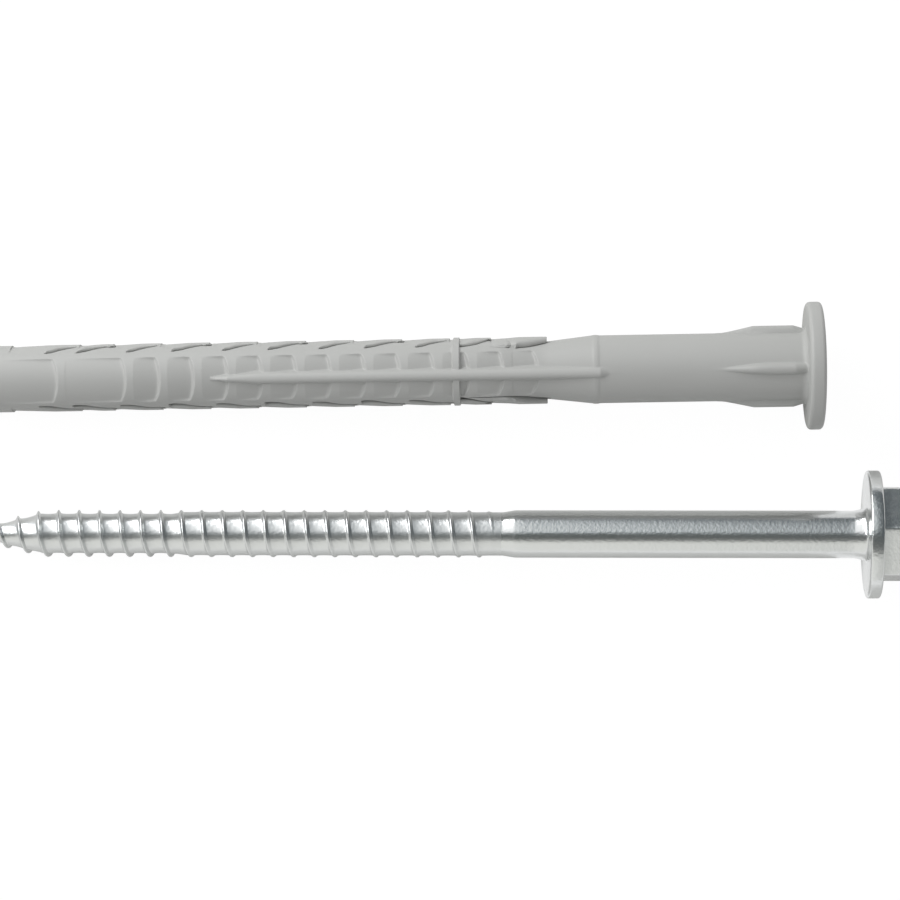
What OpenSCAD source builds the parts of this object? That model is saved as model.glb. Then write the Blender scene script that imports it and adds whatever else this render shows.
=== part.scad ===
// Frame fixing: a barbed nylon sleeve and its flanged hex screw, taken apart and lying side by side.
// Each piece is drawn along its own axis, from the bearing face of its head (z = 0) towards its tip,
// with its front to +x, and then laid on the surface z = 0 with its tip to -X.

/* [Sleeve] */
// Length of the sleeve from under its collar to its tip
sleeve_len = 125; // [120:1:160]
// Diameter of the smooth shank, the size of the drilled hole
sleeve_d = 10; // [9.6:0.1:10.6]
// Diameter across the crests of the gripping zone
zone_d = 9.9; // [9.5:0.1:10.4]
// Diameter of the collar
collar_d = 18.8; // [17:0.2:22]
// Thickness of the collar
collar_t = 2.3; // [1.8:0.1:3.5]
// Radius that rounds both edges of the collar's rim
collar_edge = 0.6; // [0.2:0.1:0.8]
// Height and reach of the fillet between collar and shank
collar_fillet = 0.9; // [0.4:0.1:1.2]
// Diameter of the bore in the neck, which the screw's shank passes through
neck_bore_d = 7.4; // [7.2:0.1:7.8]
// Diameter of the bore in the gripping zone, which the screw's thread cuts into
zone_bore_d = 5.2; // [4.6:0.1:5.6]
// Length of the taper at the tip
tip_taper = 5; // [3:0.5:6]
// Diameter of the tip's end face
tip_d = 7.6; // [6.6:0.2:8.6]
// Chamfer round the bore's mouth at the tip
tip_chamfer = 0.3; // [0.2:0.05:0.5]

/* [Neck] */
// Distance from the collar to the small bead that ends the smooth shank
bead_at = 30.3; // [26:0.5:34]
// Width of the bead
bead_w = 1.2; // [0.8:0.1:1.6]
// Height of the bead over the shank
bead_h = 0.08; // [0.05:0.01:0.2]
// Length of the taper from the bead to the waist
waist_taper = 7.65; // [7:0.05:9]
// Diameter of the waist
waist_d = 8.2; // [7.8:0.1:8.8]
// Length of the ramp from the waist up to the gripping zone
waist_ramp = 4.0; // [3.9:0.1:5.2]
// Width of the four neck ribs
neck_rib_w = 1.6; // [1:0.1:2]
// Height of the neck ribs over the shank
neck_rib_h = 1.0; // [0.5:0.1:1.4]
// Length of the neck ribs with their pointed run-in
neck_rib_len = 12.4; // [9:0.2:16]
// Length of the pointed run-in
neck_rib_point = 4.9; // [3:0.1:6]

/* [Gripping zone] */
// Spacing of the wedge pockets
pocket_pitch = 5.05; // [4.8:0.05:5.6]
// Depth of a pocket at its end wall
pocket_depth = 0.9; // [0.5:0.05:1]
// Depth at their end walls of the two long pockets next to the tip
long_pocket_depth = 0.5; // [0.3:0.05:0.8]
// Distance from the long rib's middle to a pocket's steep side
pocket_half_w = 3.15; // [2.6:0.05:3.4]
// Distance from the long rib's middle to a pocket's leaning side
pocket_low_half_w = 3.5; // [3.2:0.05:3.6]
// Run of the leaning side for each millimetre of its depth
pocket_side_lean = 1.2; // [0.8:0.1:1.5]
// Length of the crest left between two pockets
crest_len = 1.3; // [0.8:0.05:1.6]
// Run of a pocket's end wall for each millimetre of its depth
pocket_wall_lean = 0.65; // [0.2:0.05:0.8]
// Spacing of the barbs
barb_pitch = 7.11; // [6.6:0.05:7.6]
// Distance from the collar to the first evenly spaced barb
barb_first = 52.35; // [51.5:0.05:54]
// Drop in radius behind a barb's free end
barb_drop = 0.22; // [0.1:0.02:0.3]
// Half the angle that the barbs cover, at each side of the sleeve
barb_half_angle = 34; // [28:1:36]
// Length of the slot under each barb
barb_slot_len = 6.2; // [4.5:0.1:6.4]
// Width of the slot under each barb
barb_slot_w = 0.3; // [0.2:0.02:0.4]
// Radial thickness of the wings over the waist
wing_t = 0.52; // [0.4:0.02:0.6]
// Width of the long rib at the front and at the back
long_rib_w = 1.6; // [1.1:0.1:2]
// Height of the long ribs over the gripping zone
long_rib_h = 0.6; // [0.3:0.05:0.9]
// Distance from the collar to the long ribs' far point
long_rib_end = 87; // [80:0.5:96]
// Length of that point
long_rib_point = 7.1; // [4:0.1:9]
// Distance from the collar to the ring round the zone
ring_at = 50.9; // [50.4:0.1:51.1]
// Width of the ring
ring_w = 0.93; // [0.6:0.05:1.1]
// Width of the slit that lets the zone spread
slit_w = 0.6; // [0.4:0.1:1]
// Distance from the middle plane back to the slit, which keeps it out of sight from the front
slit_back = 0.3; // [0.2:0.05:0.8]

/* [Screw] */
// Length of the screw from under its flange to its point
screw_len = 134; // [128:1:165]
// Diameter of the shank
screw_d = 7; // [6.8:0.05:7.1]
// Diameter across the thread's crests
thread_d = 7; // [6.8:0.05:7.1]
// Spacing of the thread
thread_pitch = 3.06; // [2.6:0.02:3.4]
// Core diameter of the thread next to the shank
core_d = 6.4; // [6:0.1:6.5]
// Core diameter of the thread's far part
slim_core_d = 5.8; // [5.4:0.1:6]
// Distance from the flange to where the core thins
slim_at = 100; // [90:1:108]
// Length of the plain shank under the flange
shank_len = 51.6; // [46:0.2:54]
// Length of the cone from the shank down to the core
shank_cone = 1.8; // [1:0.1:3]
// Distance from the flange to the first full thread
thread_at = 55.28; // [55:0.02:58]
// Half angle of the point
point_half_angle = 13.6; // [12:0.2:16]
// Width of a thread at its root
thread_root_w = 1.1; // [0.8:0.05:1.4]
// Width of a thread at its crest
thread_crest_w = 0.3; // [0.15:0.05:0.5]

/* [Screw head] */
// Diameter of the flange
flange_d = 18.8; // [17:0.2:21]
// Thickness of the flange
flange_t = 2; // [1.5:0.1:3]
// Radius that rounds both edges of the flange's rim
flange_edge = 0.35; // [0.2:0.05:0.6]
// Reach of the fillet under the flange
flange_fillet = 0.45; // [0.2:0.05:0.6]
// Width of the hexagon across its flats
hex_af = 13; // [12:0.1:13.5]
// Height of the hexagon over the flange
hex_h = 5.6; // [4:0.1:7]
// Slope of the chamfer round the hexagon's top
hex_chamfer = 30; // [20:1:35]

/* [Lay] */
// Distance between the two axes, measured at the heads
axis_gap = 24.8; // [21:0.1:40]
// How much further along the screw's flange lies than the sleeve's collar
head_shift = 8.8; // [0:0.1:20]
// Turn of the sleeve on the surface
sleeve_yaw = 0.9; // [0:0.1:2]
// Turn of the sleeve about its own axis
sleeve_roll = 5.5; // [0:0.5:10]
// Turn of the screw about its own axis
screw_roll = -9; // [-30:1:30]

/* [Hidden] */
$fn = 64;
outside = 14; // a radius or length beyond anything on the part, for cutting tools

sleeve_r = sleeve_d / 2;
zone_r = zone_d / 2;
collar_r = collar_d / 2;
waist_r = waist_d / 2;
waist_at = bead_at + bead_w + waist_taper;
zone_at = waist_at + waist_ramp;
zone_end = sleeve_len - tip_taper;
pocket_len = pocket_pitch - crest_len;
long_pocket_len = 2 * pocket_pitch - crest_len;
waist_pocket_floor = waist_r - pocket_depth / 2;
bore_cone_at = bead_at + bead_w + 1.5;
bore_cone_len = 5;
slit_at = zone_at + 3.5;
slit_end = zone_end - 7;

screw_r = screw_d / 2;
thread_r = thread_d / 2;
flange_r = flange_d / 2;
hex_r = hex_af / 2 / cos(30);
hex_face_r = 0.93 * hex_af / 2;
steps = 24; // facets in one turn of the thread
turns = ceil((screw_len - thread_at) / thread_pitch) + 3;
thread_h = thread_r - slim_core_d / 2;

// Pockets of one pitch, and behind them two of double pitch that end before the tip's taper
pocket_n = min(12, floor((zone_end + pocket_pitch - waist_at) / pocket_pitch) - 4);
pockets = concat(
    [for (k = [1 : pocket_n - 1]) [waist_at + k * pocket_pitch, pocket_len, pocket_depth]],
    [for (k = [0, 1]) [waist_at + (pocket_n + 2 * k) * pocket_pitch, long_pocket_len, long_pocket_depth]]
);

// Where each barb's free end is, from the wing next to the neck to the last one before the tip
barb_n = min(8, floor((zone_end - 2 * barb_pitch - barb_first) / barb_pitch) + 1);
last_even = barb_first + (barb_n - 1) * barb_pitch;
wing_at = waist_at - 1.1;
barbs = concat(
    [barb_first - 0.85 * barb_pitch],
    [for (k = [0 : barb_n - 1]) barb_first + k * barb_pitch],
    [last_even + 0.7 * barb_pitch]
);
saw = concat([wing_at], barbs, [last_even + 2.13 * barb_pitch, zone_end + tip_taper * 0.8]);

// An arc as a short run of points, from angle a to angle b
function arc(c, r, a, b, n = 5) =
    [for (i = [0 : n]) c + r * [cos(a + (b - a) * i / n), sin(a + (b - a) * i / n)]];
function ease(t) = let (u = min(1, max(0, t))) u * u * (3 - 2 * u);

// Turns an outline of [along, across] into a bar through the piece from front to back
module through() {
    rotate([0, -90, 0]) linear_extrude(height = 2 * outside, center = true) children();
}

// Turns a side view of [radius, along] into a slab across the piece
module slab() {
    rotate([90, 0, 0]) linear_extrude(height = 2 * outside, center = true) children();
}

// The two sectors at the sides of the sleeve that hold the barbs
module side_sectors(from, to) {
    reach = outside * tan(barb_half_angle);
    translate([0, 0, from]) linear_extrude(height = to - from)
        for (s = [1, -1]) polygon([[0, 0], [reach, s * outside], [-reach, s * outside]]);
}

module sleeve_blank() {
    e = collar_edge;
    rotate_extrude() polygon(concat(
        [[1, -collar_t]],
        arc([collar_r - e, e - collar_t], e, -90, 0),
        arc([collar_r - e, -e], e, 0, 90),
        [
            [sleeve_r + collar_fillet, 0],
            [sleeve_r + 0.3 * collar_fillet, 0.35 * collar_fillet],
            [sleeve_r, collar_fillet],
            [sleeve_r, bead_at],
            [sleeve_r + bead_h, bead_at + 0.25 * bead_w],
            [sleeve_r + bead_h, bead_at + 0.75 * bead_w],
            [sleeve_r, bead_at + bead_w],
            [waist_r, waist_at],
            [zone_r, zone_at],
            [zone_r, zone_end],
            [tip_d / 2, sleeve_len],
            [1, sleeve_len]
        ]
    ));
}

// The wings stand over the waist, with a wedge of air between
module wings() {
    root = zone_at + 1.4;
    intersection() {
        side_sectors(wing_at, root);
        rotate_extrude() polygon([
            [zone_r - wing_t, wing_at],
            [zone_r, wing_at],
            [zone_r, root],
            [zone_r - 1.2, root],
            [zone_r - wing_t + 0.15, zone_at - 0.6]
        ]);
    }
}

// A pocket's floor is deepest at its end wall and runs out to the surface towards the tip
module pocket_ring(at, length, floor_r) {
    slope = (zone_r - floor_r) / length;
    polygon([
        [floor_r - 0.3 * slope, at - 0.3],
        [outside, at - 0.3],
        [outside, at + length + 0.5],
        [zone_r + 0.5 * slope, at + length + 0.5]
    ]);
}

// The flat end wall leans towards the tip, from the surface's radius down to the axis
module pocket_wall(at, length, surface_r) {
    lean = pocket_wall_lean;
    slab() polygon([
        [0, at + lean * surface_r], [outside, at - lean * (outside - surface_r)],
        [outside, at + length + 0.4], [0, at + length + 0.4]
    ]);
}

// Across the piece a pocket has one steep side and one that leans
module pocket_sides(at, length) {
    low = pocket_low_half_w;
    rim = sqrt(zone_r * zone_r - low * low);
    translate([0, 0, at - 1]) linear_extrude(height = length + 1.3) polygon([
        [0, pocket_half_w], [0, pocket_side_lean * rim - low], [rim, -low],
        [outside, -low], [outside, pocket_half_w]
    ]);
}

module pocket(at, length, surface_r, floor_r) {
    intersection() {
        for (a = [0, 180]) rotate(a) intersection() {
            pocket_wall(at, length, surface_r);
            pocket_sides(at, length);
        }
        rotate_extrude() pocket_ring(at, length, floor_r);
    }
}

module pockets_cut() {
    pocket(waist_at, pocket_len, waist_r, waist_pocket_floor);
    for (p = pockets) pocket(p[0], p[1], zone_r, zone_r - p[2]);
}

// Behind each free end the sides drop and rise again to the next one
module barb_steps() {
    last = len(saw) - 1;
    intersection() {
        side_sectors(wing_at - 0.5, saw[last]);
        rotate_extrude() polygon(concat(
            [[outside, wing_at - 0.5], [zone_r + 0.03, wing_at - 0.5]],
            [for (i = [0 : last - 1], end = [0, 1])
                [zone_r + (end == 0 ? 0.03 : -barb_drop), saw[i + end]]],
            [[outside, saw[last]]]
        ));
    }
}

// The slot that frees a barb from the wall under it, rising to the free end
module barb_slot(at) {
    n = 4;
    low = zone_r * cos(barb_half_angle) - 0.05;
    high = zone_r - 0.3;
    mid = [for (i = [0 : n]) [at + barb_slot_len * (1 - i / n), low + (high - low) * ease(i / n)]];
    lead = [at - 0.35, high];
    half = [0, barb_slot_w / 2];
    for (s = [1, -1]) scale([1, s])
        polygon(concat(
            [for (p = mid) p + half], [lead + half, lead - half],
            [for (i = [n : -1 : 0]) mid[i] - half]
        ));
}

// A bar along the piece whose outer side is round
module half_round(top, w) {
    translate([top - w, 0, -0.5]) cylinder(r = w, h = sleeve_len);
    translate([0, -w, -0.5]) cube([top - w, 2 * w, sleeve_len]);
}

module long_rib() {
    top = zone_r + long_rib_h;
    w = long_rib_w / 2;
    start = bead_at - 1.4;
    intersection() {
        slab() polygon([
            [zone_r - 1.5, start], [sleeve_r - 0.05, start], [top, bead_at],
            [top, long_rib_end - 0.4 * long_rib_point], [zone_r - 0.3, long_rib_end],
            [zone_r - 1.5, long_rib_end]
        ]);
        through() polygon([
            [start, -w], [long_rib_end - long_rib_point, -w], [long_rib_end, -0.15],
            [long_rib_end, 0.15], [long_rib_end - long_rib_point, w], [start, w]
        ]);
        half_round(top, w);
    }
}

module neck_rib() {
    top = sleeve_r + neck_rib_h;
    w = neck_rib_w / 2;
    full = neck_rib_len - neck_rib_point;
    intersection() {
        slab() polygon([
            [sleeve_r - 0.8, -0.5], [top - 0.4, -0.5], [top - 0.4, 0.4], [top, 1.9],
            [top, full], [sleeve_r - 0.1, neck_rib_len], [sleeve_r - 0.8, neck_rib_len]
        ]);
        through() polygon([
            [-0.5, -w], [full, -w], [neck_rib_len, -0.2], [neck_rib_len, 0.2], [full, w], [-0.5, w]
        ]);
        half_round(top, w);
    }
}

module sleeve_bore() {
    translate([0, 0, -collar_t - 1]) cylinder(r = neck_bore_d / 2, h = bore_cone_at + collar_t + 1);
    translate([0, 0, bore_cone_at])
        cylinder(r1 = neck_bore_d / 2, r2 = zone_bore_d / 2, h = bore_cone_len);
    translate([0, 0, bore_cone_at]) cylinder(r = zone_bore_d / 2, h = sleeve_len);
    translate([0, 0, sleeve_len - tip_chamfer])
        cylinder(r1 = zone_bore_d / 2, r2 = zone_bore_d / 2 + 2 * tip_chamfer, h = 2 * tip_chamfer);
}

module sleeve_piece() {
    difference() {
        union() {
            difference() {
                union() {
                    sleeve_blank();
                    wings();
                }
                pockets_cut();
                barb_steps();
                through() for (b = barbs) barb_slot(b);
            }
            translate([0, 0, ring_at]) cylinder(r = zone_r + 0.02, h = ring_w);
            for (a = [0, 180]) rotate(a) long_rib();
            for (a = [0 : 90 : 270]) rotate(a) neck_rib();
        }
        sleeve_bore();
        translate([-slit_back - slit_w, -outside, slit_at])
            cube([slit_w, 2 * outside, slit_end - slit_at]);
    }
}

// Core radius of the thread at a distance from the flange, down to nothing at the point
function core_r(z) =
    let (thick = core_d / 2, slim = slim_core_d / 2)
    min(thick + (slim - thick) * ease((z - slim_at) / thread_pitch),
        max(0, (screw_len - z) * tan(point_half_angle)));

// Crest radius: it grows out of the core over half a turn, and runs out at the point
function crest_r(z) =
    let (core = core_r(z), full = min(thread_r, core + thread_h))
    core + (full - core) * ease((z - thread_at) / (0.6 * thread_pitch) + 0.4)
        * ease((screw_len - z) / thread_pitch);

// One turn's outline: the foot and crest of the near flank, then the crest and foot of the far one
flank = [[-thread_root_w / 2, 0], [-thread_crest_w / 2, 1], [thread_crest_w / 2, 1], [thread_root_w / 2, 0]];

// The threaded end as one closed skin, wound along the helix; its blunt end is inside the neck
module thread() {
    from = thread_at - thread_pitch * 0.7;
    m = len(flank);
    rows = turns * m;
    function height(i, j) = min(screw_len, max(from,
        from + thread_pitch * (floor(i / m) - 1.5 + j / steps) + flank[i % m][0]));
    function point(i, j) = let (
        z = height(i, j),
        end = z <= from || z >= screw_len,
        r = z >= screw_len ? 0 : flank[i % m][1] == 0 || end ? core_r(z) - 0.02 : crest_r(z) - 0.01,
        a = 360 * j / steps
    ) [r * cos(a), r * sin(a), z];
    grid = [for (j = [0 : steps - 1], i = [0 : rows - 1]) point(i, j)];
    // A column's neighbour is the next one round, and the last one's is the first, a turn further on
    function at(i, j) = j < steps ? j * rows + min(i, rows - 1) : min(i + m, rows - 1);
    quads = [for (j = [0 : steps - 1], i = [0 : rows - 2])
        [at(i, j), at(i + 1, j), at(i + 1, j + 1), at(i, j + 1)]];
    function whole(t) = grid[t[0]] != grid[t[1]] && grid[t[1]] != grid[t[2]] && grid[t[2]] != grid[t[0]];
    sides = [for (q = quads, t = [[q[0], q[1], q[2]], [q[0], q[2], q[3]]]) if (whole(t)) t];
    cap = [[for (j = [0 : steps - 1]) j * rows]];
    polyhedron(points = grid, faces = concat(sides, cap));
}

module screw_blank() {
    e = flange_edge;
    f = flange_fillet;
    rotate_extrude() polygon(concat(
        [[0, -flange_t]],
        arc([flange_r - e, e - flange_t], e, -90, 0),
        arc([flange_r - e, -e], e, 0, 90),
        [
            [screw_r + f, 0],
            [screw_r + 0.3 * f, 0.5 * f],
            [screw_r, 4 * f],
            [screw_r, shank_len],
            [core_d / 2, shank_len + shank_cone],
            [core_d / 2, thread_at - 0.4],
            [0, thread_at - 0.4]
        ]
    ));
}

module hex_head() {
    chamfer_h = (hex_r - hex_face_r) * tan(hex_chamfer);
    translate([0, 0, -flange_t - hex_h]) intersection() {
        cylinder(r = hex_r, h = hex_h + 0.5, $fn = 6);
        rotate_extrude() polygon([
            [0, 0], [hex_face_r, 0], [hex_r + 0.4, chamfer_h + 0.4 * tan(hex_chamfer)],
            [hex_r + 0.4, hex_h + 0.5], [0, hex_h + 0.5]
        ]);
    }
}

module screw_piece() {
    screw_blank();
    hex_head();
    thread();
}

// A piece lies on the rim of its head and on the crests near its tip
function lie(head_r, head_z, body_r, body_z) = atan((head_r - body_r) / (body_z - head_z));
sleeve_tilt = lie(collar_r, -collar_edge, zone_r, zone_end);
screw_tilt = lie(flange_r, -flange_edge, thread_r, screw_len - thread_r / tan(point_half_angle));

// Height of the axis at z = 0, with the rim on the surface
function axis_height(head_r, head_z, tilt) = head_r * cos(tilt) + head_z * sin(tilt);

// Ends of the whole lay along X, with the collar's bearing face at X = 0
tip_x = min(-sleeve_len * cos(sleeve_tilt) * cos(sleeve_yaw) - tip_d / 2 * sin(sleeve_tilt),
    head_shift - screw_len * cos(screw_tilt));
head_x = max(head_shift + (flange_t + hex_h) * cos(screw_tilt) + hex_face_r * sin(screw_tilt),
    collar_t + collar_r * sin(sleeve_tilt));
mid_x = (tip_x + head_x) / 2;
mid_y = (collar_r - flange_r) / 2;

module lay(x, y, height, yaw, tilt, roll) {
    translate([x - mid_x, y - mid_y, height]) rotate([0, 0, yaw]) rotate([0, -tilt, 0])
        rotate([roll, 0, 0]) rotate([0, -90, 0]) children();
}

module sleeve() {
    color("#b9b9b4") lay(0, axis_gap / 2, axis_height(collar_r, -collar_edge, sleeve_tilt),
        sleeve_yaw, sleeve_tilt, sleeve_roll) sleeve_piece();
}

module screw() {
    color("#c3c6c8") lay(head_shift, -axis_gap / 2, axis_height(flange_r, -flange_edge, screw_tilt),
        0, screw_tilt, screw_roll) screw_piece();
}

sleeve();
screw();
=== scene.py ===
import math

import bmesh
import bpy
import numpy as np
from mathutils import Matrix


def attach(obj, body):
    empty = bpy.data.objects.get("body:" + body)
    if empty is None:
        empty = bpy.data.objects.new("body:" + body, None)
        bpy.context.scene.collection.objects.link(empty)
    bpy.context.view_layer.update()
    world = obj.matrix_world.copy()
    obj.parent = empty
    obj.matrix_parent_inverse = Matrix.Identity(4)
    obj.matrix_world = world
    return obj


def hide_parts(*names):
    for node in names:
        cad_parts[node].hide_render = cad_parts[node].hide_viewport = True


# A nylon frame fixing, taken apart: its barbed sleeve above, its flanged hexagon screw below.
# Sizes are millimetres along each piece's own axis, from the bearing face of its head (z = 0) to its tip.
# x points to the piece's front, y to the top of the picture. place() lays the piece where the CAD has it.
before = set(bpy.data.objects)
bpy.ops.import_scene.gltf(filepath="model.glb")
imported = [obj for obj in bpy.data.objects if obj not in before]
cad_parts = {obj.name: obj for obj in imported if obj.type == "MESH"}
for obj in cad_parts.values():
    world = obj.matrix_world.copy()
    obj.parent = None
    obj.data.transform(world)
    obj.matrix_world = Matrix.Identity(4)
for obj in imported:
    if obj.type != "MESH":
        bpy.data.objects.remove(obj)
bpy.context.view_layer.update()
MM = 0.001


# Small tools

def ease(t):
    """0 to 1 with a soft start and a soft end."""
    u = np.clip(t, 0, 1)
    return u * u * (3 - 2 * u)


def above(a, b, blend):
    """The higher of two surfaces, with a fillet where they meet."""
    return (a + b + np.sqrt((a - b) ** 2 + blend ** 2)) / 2


def below(a, b, blend):
    """The lower of two surfaces, with a rounded edge where they meet."""
    return -above(-a, -b, blend)


def profile(z, knots):
    """Value at z of the straight lines through knots, each a pair of a place and a value."""
    places, values = np.array(knots).T
    return np.interp(z, places, values)


def circle(radius, y):
    """Height over the axis of a round surface, y away from the middle plane, and 0.1 mm past its sides."""
    return np.sqrt(np.maximum(radius ** 2 - y ** 2, 0.01))


def arc(centre, radius, start, end, steps):
    """Points [r, z] of an arc, with its angles in degrees."""
    turn = np.radians(np.linspace(start, end, steps + 1))
    return [[centre[0] + radius * math.cos(t), centre[1] + radius * math.sin(t)] for t in turn]


def lay(x, y, height, yaw, tilt, roll):
    """Where a piece lies: its head's middle in millimetres, and its turns in degrees."""
    turns = [(yaw, "Z"), (-tilt, "Y"), (roll, "X"), (-90, "Y")]
    matrix = Matrix.Translation((x, y, height))
    for angle, axis in turns:
        matrix = matrix @ Matrix.Rotation(math.radians(angle), 4, axis)
    return matrix


def place(points, matrix):
    """Local millimetres to metres in the row's frame."""
    turn = np.array(matrix.to_3x3())
    return (np.asarray(points, float) @ turn.T + np.array(matrix.translation)) * MM


def link(name, vertices, faces):
    """A new object in the scene with these vertices and faces."""
    mesh = bpy.data.meshes.new(name)
    mesh.from_pydata(np.asarray(vertices).tolist(), [], faces)
    mesh.validate()
    thing = bpy.data.objects.new(name, mesh)
    bpy.context.scene.collection.objects.link(thing)
    return thing


def grid_faces(rows, cols, close_rows=False):
    """Quads over a grid that is closed round its columns, and round its rows if asked."""
    i = np.arange(rows if close_rows else rows - 1)[:, None]
    j = np.arange(cols)[None, :]
    up, over = (i + 1) % rows, (j + 1) % cols
    quads = np.stack([i * cols + j, up * cols + j, up * cols + over, i * cols + over], -1)
    return quads.reshape(-1, 4).tolist()


def gather(solids):
    """Points and faces of several solids in one list each."""
    points, faces = [], []
    for p, f in solids:
        faces += [[k + len(points) for k in face] for face in f]
        points += list(p)
    return points, faces


def loft(sections):
    """A closed solid through sections at rising z, each a list of [x, y, z] points.

    The sections all go one way round.
    """
    n, m = len(sections[0]), len(sections)
    x, y, _ = np.array(sections[m // 2]).T
    if x @ np.roll(y, -1) < y @ np.roll(x, -1):
        sections = [section[::-1] for section in sections]
    faces = [list(range(n))[::-1], [(m - 1) * n + k for k in range(n)]]
    faces += [[i * n + k, i * n + (k + 1) % n, (i + 1) * n + (k + 1) % n, (i + 1) * n + k]
              for i in range(m - 1) for k in range(n)]
    return [p for section in sections for p in section], faces


def cut(body, tool, operation):
    """Cuts body with tool or joins tool to it, keeps the result as body's mesh, and drops the tool."""
    step = body.modifiers.new("cut", "BOOLEAN")
    step.object, step.operation, step.solver = tool, operation, "MANIFOLD"
    bpy.context.view_layer.update()
    made = bpy.data.meshes.new_from_object(body.evaluated_get(bpy.context.evaluated_depsgraph_get()))
    body.modifiers.remove(step)
    body.data = made
    bpy.data.objects.remove(tool)


def settle(thing, matrix, sharp):
    """Lays a piece down by its points, and shades it smooth but for edges over this angle in degrees."""
    points = np.zeros(len(thing.data.vertices) * 3)
    thing.data.vertices.foreach_get("co", points)
    thing.data.vertices.foreach_set("co", place(points.reshape(-1, 3), matrix).ravel())
    thing.data.update()
    thing.data.shade_smooth()
    thing.data.set_sharp_from_angle(angle=math.radians(sharp))


# The sleeve

SLEEVE_LEN, SHANK_R, WAIST_R, ZONE_R, TIP_R = 125.0, 5.0, 4.19, 4.95, 3.8
COLLAR_R, COLLAR_T, COLLAR_EDGE, COLLAR_FILLET = 9.4, 2.3, 0.6, 0.9
NECK_BORE_R, ZONE_BORE_R = 3.7, 2.6
BORE_CONE = (33.0, 38.0)   # from, to
BEAD, BEAD_H = (30.3, 31.5), 0.08
WAIST_AT, ZONE_AT, ZONE_END = 39.15, 43.15, 120.0
RING, RING_R, RING_LEAN, RING_FILLET = (50.9, 51.83), 5.02, 0.2, 0.03
FRONT_EDGE = 3.9           # the front's straight-pulled band ends here, and the barbed side begins

# Radius of the turned form, and of the body between the slots, over which the barbs stand
TURNED = [(BEAD[1], SHANK_R), (38.4, WAIST_R), (42.6, WAIST_R), (44.0, ZONE_R), (ZONE_END, ZONE_R),
          (SLEEVE_LEN, TIP_R)]
BODY = [(BEAD[1], SHANK_R), (38.4, WAIST_R), (41.0, WAIST_R), (43.0, 4.3), (43.5, 4.4), (44.2, 4.53),
        (44.9, 4.61), (52.0, 4.74), (60.0, 4.8), (ZONE_END, 4.8), (SLEEVE_LEN, TIP_R)]

# Neck ribs: height of the crest over the axis, and half the width, along the neck
NECK_RIB_CREST = [(0.4, SHANK_R + 0.55), (1.9, SHANK_R + 1.0), (7.7, SHANK_R + 1.0), (12.5, SHANK_R - 0.05)]
NECK_RIB_HALF = [(0, 0.8), (5.5, 0.8), (12.5, 0.24)]
NECK_RIB_END, NECK_RIB_FILLET = 13.0, 0.14

# The long rib at the front and the back: crest, half its width, and half the width that its foot takes
RIB_FROM, RIB_RAMP, RIB_POINT, RIB_END, RIB_TOP = 28.9, 30.3, 80.6, 87.0, 5.55
RIB_CREST = [(RIB_FROM, SHANK_R - 0.05), (RIB_RAMP, RIB_TOP), (84.9, RIB_TOP), (RIB_END, ZONE_R - 0.3)]
RIB_HALF = [(RIB_FROM, 0.5), (RIB_RAMP, 0.8), (RIB_POINT, 0.8), (RIB_END, 0.15)]
RIB_FOOT = [(RIB_POINT, 0.75), (RIB_END, 0.1), (RIB_END + 0.8, -1.5)]
RIB_SHIFT, RIB_FILLET = 0.14, 0.1  # how far the rib lies off the middle plane, and the fillet at its foot
RIB_LEAN = 0.2             # how far its crest lies off its own middle, as a share of half its width
# Every rib's flanks begin at this share of half its width, and fall by so much for each millimetre across
FLANK_FROM, FLANK_FALL = 0.98, 3.5

# Wedge pockets
POCKET_PITCH, CREST_LEN, POCKET_DEPTH, LONG_DEPTH = 5.05, 1.1, 0.8, 0.45
POCKET_TOP, POCKET_LOW = 3.15, 3.45  # a pocket's edges above and below the rib
# Run of the end wall, the upper and lower side and the rib's flank, for each millimetre of depth
WALL_LEAN, TOP_LEAN, LOW_LEAN, FLANK_LEAN = 0.667, 2.5, 3.0, 0.45
# Blends at the foot of the same four, and over a pocket's rim
WALL_FILLET, TOP_FILLET, LOW_FILLET, FLANK_FILLET, RIM_ROLL = 0.28, 0.25, 0.2, 0.15, 0.035
WAIST_FLOOR = (3.45, 4.27)  # radius of the first pocket's floor, at its wall and where it runs out
RUN_OUT = 0.03             # depth of the other floors where they run out

# Barbs, by the places of their free ends, with those of the wings in front and of the steps at the tip
WING_AT = 38.05
BARB_PITCH = 7.11
BARBS = [46.3] + [52.35 + BARB_PITCH * k for k in range(8)] + [107.1]
LAST_STEP = 117.26
SAW = [WING_AT] + BARBS + [LAST_STEP, 124.0]
BARB_TOP, BARB_DROP = ZONE_R - 0.02, 0.23  # a barb's radius at its free end, and how far it sinks
TOOL_REACH, SLIT_REACH = 7, 12  # how far from the axis the tools that cut the slots and the slit reach
MIDDLE_WALL = 0.4          # half the wall that the wings' slots leave between front and back
SLIT = (46.65, 113.0, -0.9, -0.3)  # from, to, and how far it lies behind the middle plane
# Where a barb begins: place from its free end, distance from the middle plane, width over which it rises
BARB_EDGE = [(-0.5, 4.66, 0.06), (1, 4.62, 0.06), (2, 4.5, 0.06), (3, 4.33, 0.06), (4, 4.12, 0.08),
             (5, 4.0, 0.3)]
ROOT_Y, ROOT_WIDTH = 3.95, 0.7  # the same past the slot, where the barb grows out of the body

# A wing: place along the axis, outer radius, inner radius, width over which its front edge rises
WING_SECTIONS = [(38.05, 4.87, 4.3, 0.01), (38.13, 4.94, 4.3, 0.01), (39.3, 4.95, 4.25, 0.01),
                 (41.0, 4.95, 4.1, 0.01), (42.2, 4.95, 4.0, 0.01), (42.8, 4.9, 3.95, 0.2),
                 (43.5, 4.84, 3.9, 0.7), (44.2, 4.78, 3.95, 0.8), (45.0, 4.71, 4.0, 0.8),
                 (46.6, 4.6, 4.1, 0.6)]
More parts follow.
